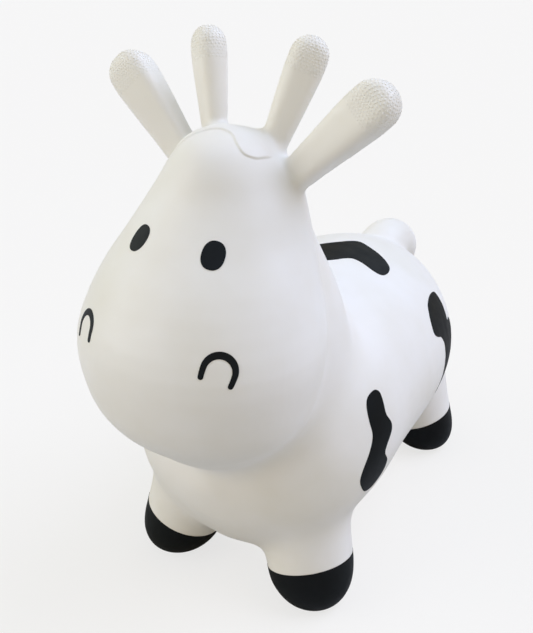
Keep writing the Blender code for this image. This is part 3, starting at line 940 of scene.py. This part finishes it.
@dataclass
class Skin:
    """The one PVC skin that all the forms melt into.

    Attributes:
        body: The body.
        head: The head.
        grips: The ears and horns.
        voxel: The size of its faces.
        body_fillet: How far the big forms melt into each other.
        grip_fillet: How far a grip or the tail melts into them.
        polish: How many times the whole skin is smoothed at the end.
        lock_span: The span of the swept lock of hair across the crown.
        lock_place: Where the lock's edge lies, as a share of the head's depth.
        lock_relief: How far the lock stands proud.
        lock_ends: The shares of its edge where it is full and where it starts to end.
        lock_step: Where its step starts and ends, measured across its edge.
        lock_fade: Where the hair behind the edge starts to fall and where it is level.
        lock_refining: How near its edge the faces are split, once for each distance.
        crown_share: The share of the head's height above which it may lie.
        crown_slope: The least upward part of the crown's normals.
        valve: Where the valve is along Y.
        bore: The bore's width.
        bore_depth: The drill's length.
        bore_start: How far below the belly the drill starts.
    """

    body: Body
    head: Head
    grips: list[Grip]
    voxel: float = 2.6 * MILLIMETRE
    body_fillet: float = 0.034
    grip_fillet: float = 0.012
    polish: int = 5
    lock_span: float = 0.070
    lock_place: float = 0.071
    lock_relief: float = 1.2 * MILLIMETRE
    lock_ends: tuple[float, float] = (0.12, 0.90)
    lock_step: tuple[float, float] = (-0.2 * MILLIMETRE, 1.0 * MILLIMETRE)
    lock_fade: tuple[float, float] = (5 * MILLIMETRE, 24 * MILLIMETRE)
    lock_refining: tuple[float, float] = (7 * MILLIMETRE, 3 * MILLIMETRE)
    crown_share: float = 0.86
    crown_slope: float = 0.2
    valve: float = VALVE_PLACE
    bore: float = 0.0090
    bore_depth: float = 0.026
    bore_start: float = 0.005

    # Place across and place rearward, in shares of the lock's span
    LOCK = (
        (-0.37, -0.52), (-0.31, -0.46), (-0.235, -0.40), (-0.12, -0.315), (-0.03, -0.27),
        (0.06, -0.25), (0.18, -0.275), (0.30, -0.37), (0.39, -0.395), (0.455, -0.35),
        (0.505, -0.27), (0.54, -0.13), (0.555, 0.00))

    def melt(self) -> Object:
        """Join all the forms into one surface with fillets where they meet.

        Returns:
            The surface.
        """
        trunk = self.body.forms() + self.head.forms()
        small = [self.body.tail()] + [grip.form(self.head) for grip in self.grips]
        trunk_trees = [search_tree(form) for form in trunk]
        small_trees = [search_tree(form) for form in small]
        skin = join("pvc_skin", trunk + small)
        apply_modifier(skin, "REMESH", mode="VOXEL", voxel_size=self.voxel)
        broad = skin.vertex_groups.new(name="body_fillet")
        tight = skin.vertex_groups.new(name="grip_fillet")
        for vert in skin.data.vertices:
            far = sorted(tree.find_nearest(vert.co)[3] for tree in trunk_trees)
            near = sorted(tree.find_nearest(vert.co)[3] for tree in small_trees)
            clear = min(1.0, near[0] / self.grip_fillet)
            broad.add([vert.index], clear * max(0.0, 1 - far[1] / self.body_fillet), "REPLACE")
            second = sorted((near[0], near[1], far[0]))[1]
            tight.add([vert.index], max(0.0, 1 - second / self.grip_fillet), "REPLACE")
        for group, reach in ((broad, self.body_fillet), (tight, self.grip_fillet)):
            passes = round((reach / self.voxel) ** 2)
            apply_modifier(skin, "SMOOTH", iterations=passes, vertex_group=group.name)
        apply_modifier(skin, "SMOOTH", iterations=self.polish)
        skin.vertex_groups.clear()
        return skin

    def lock_line(self) -> list[Vector]:
        """The lower edge of the lock of hair, seen from above."""
        start = Vector((0, self.head.point(0, self.lock_place, 0).y))
        rows = smooth_rows(self.LOCK, LOCK_POINTS)
        return [start + Vector(row) * self.lock_span for row in rows]

    def lock_height(self, line: Sequence[Vector], point: Vector) -> float:
        """How far the lock raises a point of the crown, as a share of its relief.

        Args:
            line: The lock's lower edge.
            point: The point.

        Returns:
            The share, from 0 below the edge to 1 just above it.
        """
        flat = point.xy
        nearest = min(range(len(line)), key=lambda index: (line[index] - flat).length_squared)
        ahead = line[min(nearest + 1, len(line) - 1)] - line[max(nearest - 1, 0)]
        away = flat - line[nearest]
        above = (ahead.x * away.y - ahead.y * away.x) / ahead.length
        along = nearest / (len(line) - 1)
        ends = ease(along, 0.0, self.lock_ends[0]) * (1 - ease(along, self.lock_ends[1], 1.0))
        return ends * ease(above, *self.lock_step) * (1 - ease(above, *self.lock_fade))

    def raise_lock(self, skin: Object) -> None:
        """Refine the crown along the lock's edge and raise the hair behind it.

        Args:
            skin: The skin.
        """
        line = self.lock_line()
        crown = self.head.point(0, 0, self.crown_share).z
        for reach in self.lock_refining:
            with editing(skin, "FACE"):
                select_faces(skin, lambda p: p.z > crown and min(
                    (p.xy - near).length for near in line[::2]) < reach)
                bpy.ops.mesh.subdivide(number_cuts=1, smoothness=0)
        group = skin.vertex_groups.new(name="lock")
        for vert in skin.data.vertices:
            if vert.co.z > crown and vert.normal.z > self.crown_slope:
                share = self.lock_height(line, vert.co)
                if share > 0:
                    group.add([vert.index], share, "REPLACE")
        apply_modifier(
            skin, "DISPLACE", strength=self.lock_relief, mid_level=0, vertex_group="lock")
        skin.vertex_groups.clear()

    def patch(self, skin: Object, name: str, test: Callable[[Vector], bool]) -> Object:
        """Copy part of the skin into an object of its own.

        Args:
            skin: The skin.
            name: The name of the copy.
            test: Says of a face's middle whether the face is copied.

        Returns:
            The copy.
        """
        with editing(skin, "FACE"):
            select_faces(skin, test)
            bpy.ops.mesh.duplicate()
            bpy.ops.mesh.separate(type="SELECTED")
        copy = next(obj for obj in bpy.context.selected_objects if obj != skin)
        copy.name = name
        return copy

    def drill(self, skin: Object) -> float:
        """Drill the blind bore of the valve up into the belly.

        Args:
            skin: The skin.

        Returns:
            The height of the belly round the bore.
        """
        belly = search_tree(skin).ray_cast(Vector((0, self.valve, 0)), UP)[0].z
        middle = (0, self.valve, belly - self.bore_start + self.bore_depth / 2)
        bpy.ops.mesh.primitive_cylinder_add(
            vertices=BORE_SIDES, radius=self.bore / 2, depth=self.bore_depth, location=middle)
        drill = bpy.context.object
        apply_modifier(skin, "BOOLEAN", operation="DIFFERENCE", object=drill, solver="EXACT")
        remove(drill)
        return belly


@dataclass
class Coat:
    """A thin coat of colour that lies on the skin.

    Attributes:
        skin: The skin's maker.
        lift: How far its face stands off the skin.
        body: How thick it is, from its face down into the skin.
        margin: How many of the skin's faces are copied past its outline.
    """

    skin: Skin
    lift: float = 0.3 * MILLIMETRE
    body: float = 0.7 * MILLIMETRE
    margin: int = 3

    def thicken(self, patch: Object) -> None:
        """Lift a patch off the skin and give it a thickness.

        Args:
            patch: A copy of part of the skin.
        """
        apply_modifier(patch, "DISPLACE", strength=self.lift, mid_level=0)
        apply_modifier(patch, "SOLIDIFY", thickness=self.body, offset=-1)

    def cut_out(
        self,
        surface: Object,
        name: str,
        outline: Sequence[Sequence[float]],
        matrix: Matrix,
        reach: float,
    ) -> Object:
        """Cut a coat with a flat outline out of the skin's surface.

        Args:
            surface: The skin.
            name: The name of the coat.
            outline: Its outline in the cutter's X and Y.
            matrix: The cutter's axes, with its Z through the skin.
            reach: How deep the cutter is.

        Returns:
            The coat.
        """
        bpy.ops.mesh.primitive_circle_add(vertices=len(outline), radius=1, fill_type="NGON")
        cutter = bpy.context.object
        for vert, (across, rise) in zip(cutter.data.vertices, outline):
            vert.co = Vector((across, rise, 0))
        with editing(cutter, "FACE"):
            bpy.ops.mesh.select_all(action="SELECT")
            bpy.ops.mesh.extrude_region_move(TRANSFORM_OT_translate={"value": (0, 0, reach)})
            turn_outward()
        place(cutter, matrix)
        size = max(Vector(point).length for point in outline) + self.margin * self.skin.voxel
        centre = matrix @ Vector((0, 0, reach / 2))
        limit = Vector((size, reach / 2)).length
        outward = (matrix.to_3x3() @ UP).normalized()

        def near(point: Vector) -> bool:
            """Say whether a point of the skin is in the cutter's reach."""
            away = point - centre
            flat = away - outward * away.dot(outward)
            return away.length < limit and flat.length < size and abs(away.dot(outward)) < reach / 2

        coat = self.skin.patch(surface, name, near)
        self.thicken(coat)
        apply_modifier(coat, "BOOLEAN", operation="INTERSECT", object=cutter, solver="EXACT")
        remove(cutter)
        return coat


@dataclass
class Spots:
    """The six black spots on the body.

    Attributes:
        coat: How a coat is made.
        body: The body that they lie on.
        material: Their material.
        start_share: How far out of the body's axis the cutters start, as a share of its depth.
    """

    coat: Coat
    body: Body
    material: Material
    start_share: float = 0.25

    # Place along the body, degrees round it from the spine towards the left, and the
    # outline as (rearward, round the body) shares of the body's depth
    OUTLINES = {
        "saddle": (0.58, 5, (
            (0.02, 0.175), (0.085, 0.122), (0.145, 0.07), (0.203, 0.025), (0.219, -0.01),
            (0.191, -0.071), (0.16, -0.134), (0.122, -0.186), (0.083, -0.216), (0.03, -0.227),
            (-0.015, -0.218), (-0.025, -0.18), (-0.007, -0.116), (-0.006, -0.07), (-0.04, -0.04),
            (-0.102, -0.005), (-0.256, 0.128), (-0.30, 0.235), (-0.21, 0.29), (-0.064, 0.235))),
        "left_haunch": (0.658, 75, (
            (0.118, 0.182), (0.064, 0.193), (0.00, 0.191), (-0.06, 0.172), (-0.108, 0.128),
            (-0.127, 0.08), (-0.098, 0.051), (-0.058, 0.032), (-0.031, -0.01), (-0.029, -0.068),
            (-0.036, -0.125), (-0.044, -0.18), (-0.056, -0.235), (-0.035, -0.268), (0.04, -0.265),
            (0.14, -0.20), (0.20, -0.11), (0.21, -0.02), (0.17, 0.035), (0.122, 0.04),
            (0.131, 0.08), (0.14, 0.125), (0.134, 0.162))),
        "left_shoulder": (0.218, 85, (
            (0.07, 0.195), (0.028, 0.184), (0.004, 0.153), (-0.008, 0.105), (-0.012, 0.05),
            (-0.034, 0.002), (-0.071, -0.058), (-0.087, -0.108), (-0.073, -0.152), (-0.036, -0.196),
            (0.02, -0.205), (0.066, -0.165), (0.076, -0.11), (0.05, -0.06), (0.062, -0.025),
            (0.098, 0.018), (0.101, 0.052), (0.082, 0.095), (0.088, 0.145), (0.09, 0.18))),
        "right_shoulder": (0.235, -82, (
            (-0.02, 0.17), (0.05, 0.12), (0.045, 0.03), (0.11, -0.04), (0.09, -0.13), (0.0, -0.16),
            (-0.075, -0.11), (-0.05, -0.02), (-0.10, 0.06), (-0.085, 0.14))),
        "right_flank": (0.53, -62, (
            (-0.13, 0.09), (0.0, 0.14), (0.12, 0.09), (0.15, -0.02), (0.07, -0.07), (0.05, -0.16),
            (-0.04, -0.19), (-0.09, -0.10), (-0.17, -0.03))),
        "right_haunch": (0.80, -84, (
            (-0.07, 0.16), (0.04, 0.17), (0.09, 0.07), (0.05, -0.03), (0.10, -0.12), (0.02, -0.19),
            (-0.08, -0.14), (-0.06, -0.03), (-0.12, 0.05))),
    }

    def build(self, surface: Object) -> None:
        """Cut every spot out of the skin's surface and hang it on the frame.

        Args:
            surface: The skin.
        """
        depth = self.body.depth
        for name, (along, degrees, outline) in self.OUTLINES.items():
            facing = Vector((sin(radians(degrees)), 0, cos(radians(degrees))))
            middle = self.body.point(along * self.body.length, 0)
            upward = facing.cross(REARWARD)
            across = upward.cross(facing)
            start = middle + facing * depth * self.start_share
            matrix = axes(across, facing.cross(across), facing, start)
            points = [(u * depth, v * depth) for u, v in smooth_loop(outline, SPOT_POINTS)]
            spot = self.coat.cut_out(
                surface, f"spot_coat_{name}", points, matrix, self.body.width / 2)
            finish_piece(spot, self.material, "black_pvc", f"spot_{name}")


@dataclass
class Face:
    """The printed eyes and nostrils.

    Attributes:
        coat: How a coat is made.
        head: The head that they lie on.
        material: Their material.
        reach_share: How far the cutters reach either way of the skin, as a share of the depth.
        eye_size: The width and height of an eye.
        eye_power: The power that fills out an eye's shoulders; 1 is a plain oval.
        eye_facing: Where the left eye looks.
        nostril_width: The width of a nostril's middle line.
        nostril_leg: How far its legs reach down.
        nostril_stroke: The width of its stroke.
        nostril_end_share: The share of that width that its ends have.
        nostril_wrap: The degrees that its legs curl inward.
        nostril_facing: Where the left nostril looks.
    """

    coat: Coat
    head: Head
    material: Material
    reach_share: float = 0.125
    eye_size: tuple[float, float] = (0.0172, 0.0220)
    eye_power: float = 0.88
    eye_facing: tuple[float, float, float] = (0.42, -0.68, 0.60)
    nostril_width: float = 0.0230
    nostril_leg: float = 0.0076
    nostril_stroke: float = 0.0053
    nostril_end_share: float = 0.75
    nostril_wrap: float = 16.0
    nostril_facing: tuple[float, float, float] = (0.53, -0.81, 0.25)

    # Sideways and up shares of the head's width and height, and the degrees that the top
    # leans outward; the print isn't quite the same on both sides
    EYE_PLACES = {Side.LEFT: (0.164, 0.781, 16.0), Side.RIGHT: (0.146, 0.784, 0.0)}
    NOSTRIL_PLACES = {Side.LEFT: (0.295, 0.550, 20.0), Side.RIGHT: (0.291, 0.561, 12.0)}

    def eye(self) -> list[tuple[float, float]]:
        """The outline of an eye: an upright oval with full shoulders."""
        points = []
        for step in range(EYE_POINTS):
            angle = 2 * pi * step / EYE_POINTS
            ways = zip(self.eye_size, (cos(angle), sin(angle)))
            points.append(tuple(size / 2 * fuller(value, self.eye_power) for size, value in ways))
        return points

    def nostril(self) -> list[Vector]:
        """The outline of a nostril: half a circle whose two short legs curl inward."""
        radius = self.nostril_width / 2
        wrap = radians(self.nostril_wrap)
        drop = self.nostril_leg / sin(wrap)
        path = []
        for step in range(NOSTRIL_STEPS + 1):
            angle = (pi + 2 * wrap) * step / NOSTRIL_STEPS - wrap
            rise = sin(angle) * (radius if sin(angle) > 0 else drop)
            path.append(Vector((radius * cos(angle), rise)))
        return stroke(path, self.nostril_stroke, self.nostril_end_share)

    def build(self, surface: Object) -> None:
        """Cut both eyes and both nostrils out of the skin's surface.

        Args:
            surface: The skin.
        """
        tree = search_tree(surface)
        marks = {
            "eye": (self.eye(), self.EYE_PLACES, self.eye_facing),
            "nostril": (self.nostril(), self.NOSTRIL_PLACES, self.nostril_facing),
        }
        reach = self.head.depth * self.reach_share
        for side in Side:
            for name, (outline, places, facing) in marks.items():
                across, up, degrees = places[side]
                seat = tree.ray_cast(self.head.point(side.value * across, -1, up), REARWARD)[0]
                outward = Vector((side.value * facing[0], facing[1], facing[2])).normalized()
                level = UP.cross(outward).normalized()
                matrix = axes(level, outward.cross(level), outward, seat - outward * reach)
                turn = Matrix.Rotation(-side.value * radians(degrees), 4, "Z")
                mark = self.coat.cut_out(
                    surface, f"{name}_print_{side.word}", outline, matrix @ turn, 2 * reach)
                finish_piece(mark, self.material, "face_print", f"{name}_{side.word}")


def fuller(value: float, power: float) -> float:
    """Swell a cosine or sine so that an oval gets fuller shoulders."""
    return abs(value) ** power * (1 if value > 0 else -1)


@dataclass
class Hooves:
    """The four black coats over the feet.

    Attributes:
        coat: How a coat is made.
        body: The body whose feet they cover.
        material: Their material.
        height: The height of their top line at the middle of the leg.
        outward_rise: How steeply the top line rises outwards.
        front_rise: How steeply it rises rearward on the front hooves.
        rear_rise: The same on the rear hooves.
        patch_share: How high the skin is copied, as a share of that height.
    """

    coat: Coat
    body: Body
    material: Material
    height: float = 0.045
    outward_rise: float = 0.34
    front_rise: float = -0.22
    rear_rise: float = 0.10
    patch_share: float = 1.6

    def build(self, surface: Object) -> None:
        """Copy each foot's skin, cut it along the top line and thicken it.

        Args:
            surface: The skin.
        """
        legs = ((self.body.front_leg, self.front_rise), (self.body.rear_leg, self.rear_rise))
        for side in Side:
            for leg, rise in legs:
                foot = self.body.foot(side, leg)
                top = self.patch_share * self.height
                wide = self.body.leg_width
                hoof = self.coat.skin.patch(
                    surface, f"hoof_coat_{leg.name}_{side.word}",
                    lambda p: p.z < top and (p.xy - foot.xy).length < wide)
                normal = Vector((-self.outward_rise * side.value, -rise, 1)).normalized()
                with editing(hoof, "FACE"):
                    bpy.ops.mesh.select_all(action="SELECT")
                    bpy.ops.mesh.bisect(
                        plane_co=(foot.x, foot.y, self.height), plane_no=normal, clear_outer=True)
                self.coat.thicken(hoof)
                finish_piece(hoof, self.material, "black_pvc", f"hoof_{leg.name}_{side.word}")


@dataclass
class Valve:
    """The seat of the air valve under the belly, and its plug.

    Attributes:
        place: Where it is along Y.
        bore: The width of the seat's hole.
        width: The seat's width.
        proud: How far the seat stands below the belly.
        depth: The seat's full depth.
        edge: The rounding of its edges.
        steps: How many steps it is spun in.
        weld: How near the last step lies to the first.
    """

    place: float = VALVE_PLACE
    bore: float = 0.0094
    width: float = 0.026
    proud: float = 0.0012
    depth: float = 0.006
    edge: float = 0.8 * MILLIMETRE
    steps: int = 64
    weld: float = 0.02 * MILLIMETRE

    def build(self, belly: float, skin_material: Material, plug_material: Material) -> None:
        """Spin the seat ring and give the CAD plug its material.

        Args:
            belly: The height of the belly round the bore.
            skin_material: The seat's material.
            plug_material: The plug's material.
        """
        wall = (self.width - self.bore) / 2
        middle = Vector(((self.bore + wall) / 2, self.place, belly - self.proud + self.depth / 2))
        with new_mesh("valve_seat") as seat:
            bpy.ops.mesh.primitive_plane_add(size=1, location=middle, rotation=(pi / 2, 0, 0))
            bpy.ops.transform.resize(value=(wall, 1, self.depth), center_override=middle)
            bpy.ops.mesh.bevel(offset=self.edge, segments=4, affect="VERTICES")
            bpy.ops.mesh.delete(type="ONLY_FACE")
            bpy.ops.mesh.select_all(action="SELECT")
            bpy.ops.mesh.spin(
                steps=self.steps, angle=2 * pi, center=(0, self.place, middle.z), axis=UP)
            bpy.ops.mesh.select_all(action="SELECT")
            bpy.ops.mesh.remove_doubles(threshold=self.weld)
            turn_outward()
        finish_piece(seat, skin_material, "white_pvc")
        for slot in frame["nodes"]["valve_plug"].material_slots:
            slot.material = plug_material


@dataclass
class Studio:
    """The floor, the light and the camera.

    Attributes:
        paper: The floor's colour to the camera.
        paper_bounce: The floor's colour for the light that it throws back.
        backdrop: The plain tone of the photograph's background.
        shadow_lift: How much of that tone lies over the floor and its shadow.
        room_light: The dim warm light from all sides.
        lamp_distance: How far off the lamps stand.
        lamp_spread: The degrees that each lamp is wide.
        target: The point that the camera looks at.
        azimuth: The camera's degrees round from the front towards the cow's left.
        elevation: Its degrees above level.
        roll: The degrees that it is turned about its own axis.
        distance: Its distance from the target.
        lens: Its focal length in millimetres.
        sensor: Its sensor's width in millimetres.
        nearest: How near it still sees.
        shift: The photograph's framing.
        floor_size: The size of the floor.
    """

    paper: str = "#F2ECE4"
    paper_bounce: str = "#C9C8C6"
    backdrop: str = "#F6F6F6"
    shadow_lift: float = 0.80
    room_light: tuple[float, float, float] = (0.405, 0.309, 0.118)
    lamp_distance: float = 2.0
    lamp_spread: float = 50.0
    target: tuple[float, float, float] = (0.0, -0.0280, 0.25)
    azimuth: float = 27.34
    elevation: float = 26.19
    roll: float = 1.582
    distance: float = 0.792
    lens: float = 46.04
    sensor: float = 36.0
    nearest: float = 0.02
    shift: tuple[float, float] = (-0.0423, -0.0108)
    floor_size: float = 40.0

    # Name, degrees round from the front towards the cow's left, degrees up, and the light
    LAMPS = (
        ("front_window", -48.0, 20.0, (0.385, 0.388, 0.395)),
        ("side_window", -90.0, 12.0, (0.120, 0.150, 0.165)),
        ("shoulder_lamp", 124.0, 50.0, (0.545, 0.610, 0.830)),
        ("rear_window", 180.0, 34.0, (0.080, 0.120, 0.180)),
        ("ceiling_lamp", 0.0, 75.0, (0.030, 0.100, 0.200)),
    )

    def seen_by_eye(self, tree: NodeTree) -> NodeSocket:
        """A factor that is 1 for what the camera looks at straight."""
        return add_node(tree, "ShaderNodeLightPath").outputs["Is Camera Ray"]

    def floor(self) -> None:
        """Lay a pale paper floor that shows a light shadow and throws back less than it shows."""
        bpy.ops.mesh.primitive_plane_add(size=self.floor_size)
        floor = bpy.context.object
        floor.name = "studio_floor"
        material = bpy.data.materials.new("matt_white_studio_paper")
        material.use_nodes = True
        tree = material.node_tree
        shader = tree.nodes["Principled BSDF"]
        seen = self.seen_by_eye(tree)
        shown = mix_colours(tree, seen, linear(self.paper_bounce), linear(self.paper))
        tree.links.new(shown, shader.inputs["Base Color"])
        shader.inputs["Roughness"].default_value = 1.0
        shader.inputs["Specular IOR Level"].default_value = 0.0
        glow = add_node(tree, "ShaderNodeEmission", None, {"Color": linear(self.backdrop)})
        lift = add_node(
            tree, "ShaderNodeMath", {0: seen}, {1: self.shadow_lift}, operation="MULTIPLY")
        mix = add_node(tree, "ShaderNodeMixShader", {
            0: lift.outputs[0], 1: shader.outputs[0], 2: glow.outputs[0]})
        tree.links.new(mix.outputs[0], tree.nodes["Material Output"].inputs["Surface"])
        floor.data.materials.append(material)

    def world(self) -> None:
        """Wrap a dim warm sky round the cow and show a pale one to the camera."""
        world = bpy.data.worlds.new("studio_sky")
        bpy.context.scene.world = world
        world.use_nodes = True
        tree = world.node_tree
        tree.nodes.clear()
        light = add_node(tree, "ShaderNodeBackground", None, {"Color": (*self.room_light, 1.0)})
        shown = add_node(tree, "ShaderNodeBackground", None, {"Color": linear(self.backdrop)})
        mix = add_node(tree, "ShaderNodeMixShader", {
            0: self.seen_by_eye(tree), 1: light.outputs[0], 2: shown.outputs[0]})
        add_node(tree, "ShaderNodeOutputWorld", {"Surface": mix.outputs[0]})

    def lamps(self) -> None:
        """Hang the broad lamps: a plain one in front, cool ones beside, behind and overhead."""
        for name, azimuth, elevation, light in self.LAMPS:
            turn, rise = radians(azimuth), radians(elevation)
            toward = Vector((sin(turn) * cos(rise), -cos(turn) * cos(rise), sin(rise)))
            bpy.ops.object.light_add(type="SUN", location=toward * self.lamp_distance)
            lamp = bpy.context.object
            lamp.name = name
            lamp.rotation_euler = toward.to_track_quat("Z", "Y").to_euler()
            lamp.data.energy = pi * max(light)
            lamp.data.angle = radians(self.lamp_spread)
            lamp.data.color = Vector(light) / max(light)

    def camera(self) -> None:
        """Stand the camera where the photograph was taken from."""
        turn, rise, roll = radians(self.azimuth), radians(self.elevation), radians(self.roll)
        back = Vector((sin(turn) * cos(rise), -cos(turn) * cos(rise), sin(rise)))
        right = Vector((cos(turn), sin(turn), 0))
        upward = back.cross(right)
        tilted = right * cos(roll) + upward * sin(roll)
        bpy.ops.object.camera_add()
        camera = bpy.context.object
        camera.name = "photo_camera"
        stand = Vector(self.target) + back * self.distance
        camera.matrix_world = axes(tilted, back.cross(tilted), back, stand)
        camera.data.lens = self.lens
        camera.data.sensor_width = self.sensor
        camera.data.shift_x, camera.data.shift_y = self.shift
        camera.data.clip_start = self.nearest
        bpy.context.scene.camera = camera

    def build(self) -> None:
        """Set up the whole studio."""
        self.floor()
        self.world()
        self.lamps()
        self.camera()
        bpy.context.scene.view_settings.view_transform = "Standard"


def make_grips() -> list[Grip]:
    """The two ears and two horns."""
    grips = []
    for side in Side:
        grips.append(Grip(
            f"ear_{side.word}", side, root=(0.229, 0.136, 0.898), lean=(0.70, 0.12, 0.71),
            turn=-0.3, length=0.0872, width=0.0362, thickness=0.030, corner=0.30))
        grips.append(Grip(
            f"horn_{side.word}", side, root=(0.118, 0.162, 0.941), lean=(0.256, 0.287, 0.923),
            turn=0.5, length=0.081, width=0.0300, thickness=0.0248, corner=0.42))
    return grips


def main() -> None:
    """Build the skin, its coats and nubs, the valve and the studio, in that order."""
    logging.basicConfig(level=logging.INFO, format="%(message)s")
    skin_material = SKIN_FINISH.build()
    coat_material = COAT_FINISH.build()
    body, head = Body(), Head()
    maker = Skin(body, head, make_grips())
    surface = maker.melt()
    log.info("melted skin: %d faces", len(surface.data.polygons))
    maker.raise_lock(surface)
    coat = Coat(maker)
    Spots(coat, body, coat_material).build(surface)
    Hooves(coat, body, coat_material).build(surface)
    Face(coat, head, PRINT_FINISH.build()).build(surface)
    for grip in maker.grips:
        finish_piece(grip.nubs(head, surface), skin_material, "white_pvc", angle=180.0)
    belly = maker.drill(surface)
    finish_piece(surface, skin_material, "white_pvc", "skin", angle=60.0)
    Valve().build(belly, skin_material, PLUG_FINISH.build())
    Studio().build()


if __name__ == "__main__":
    main()
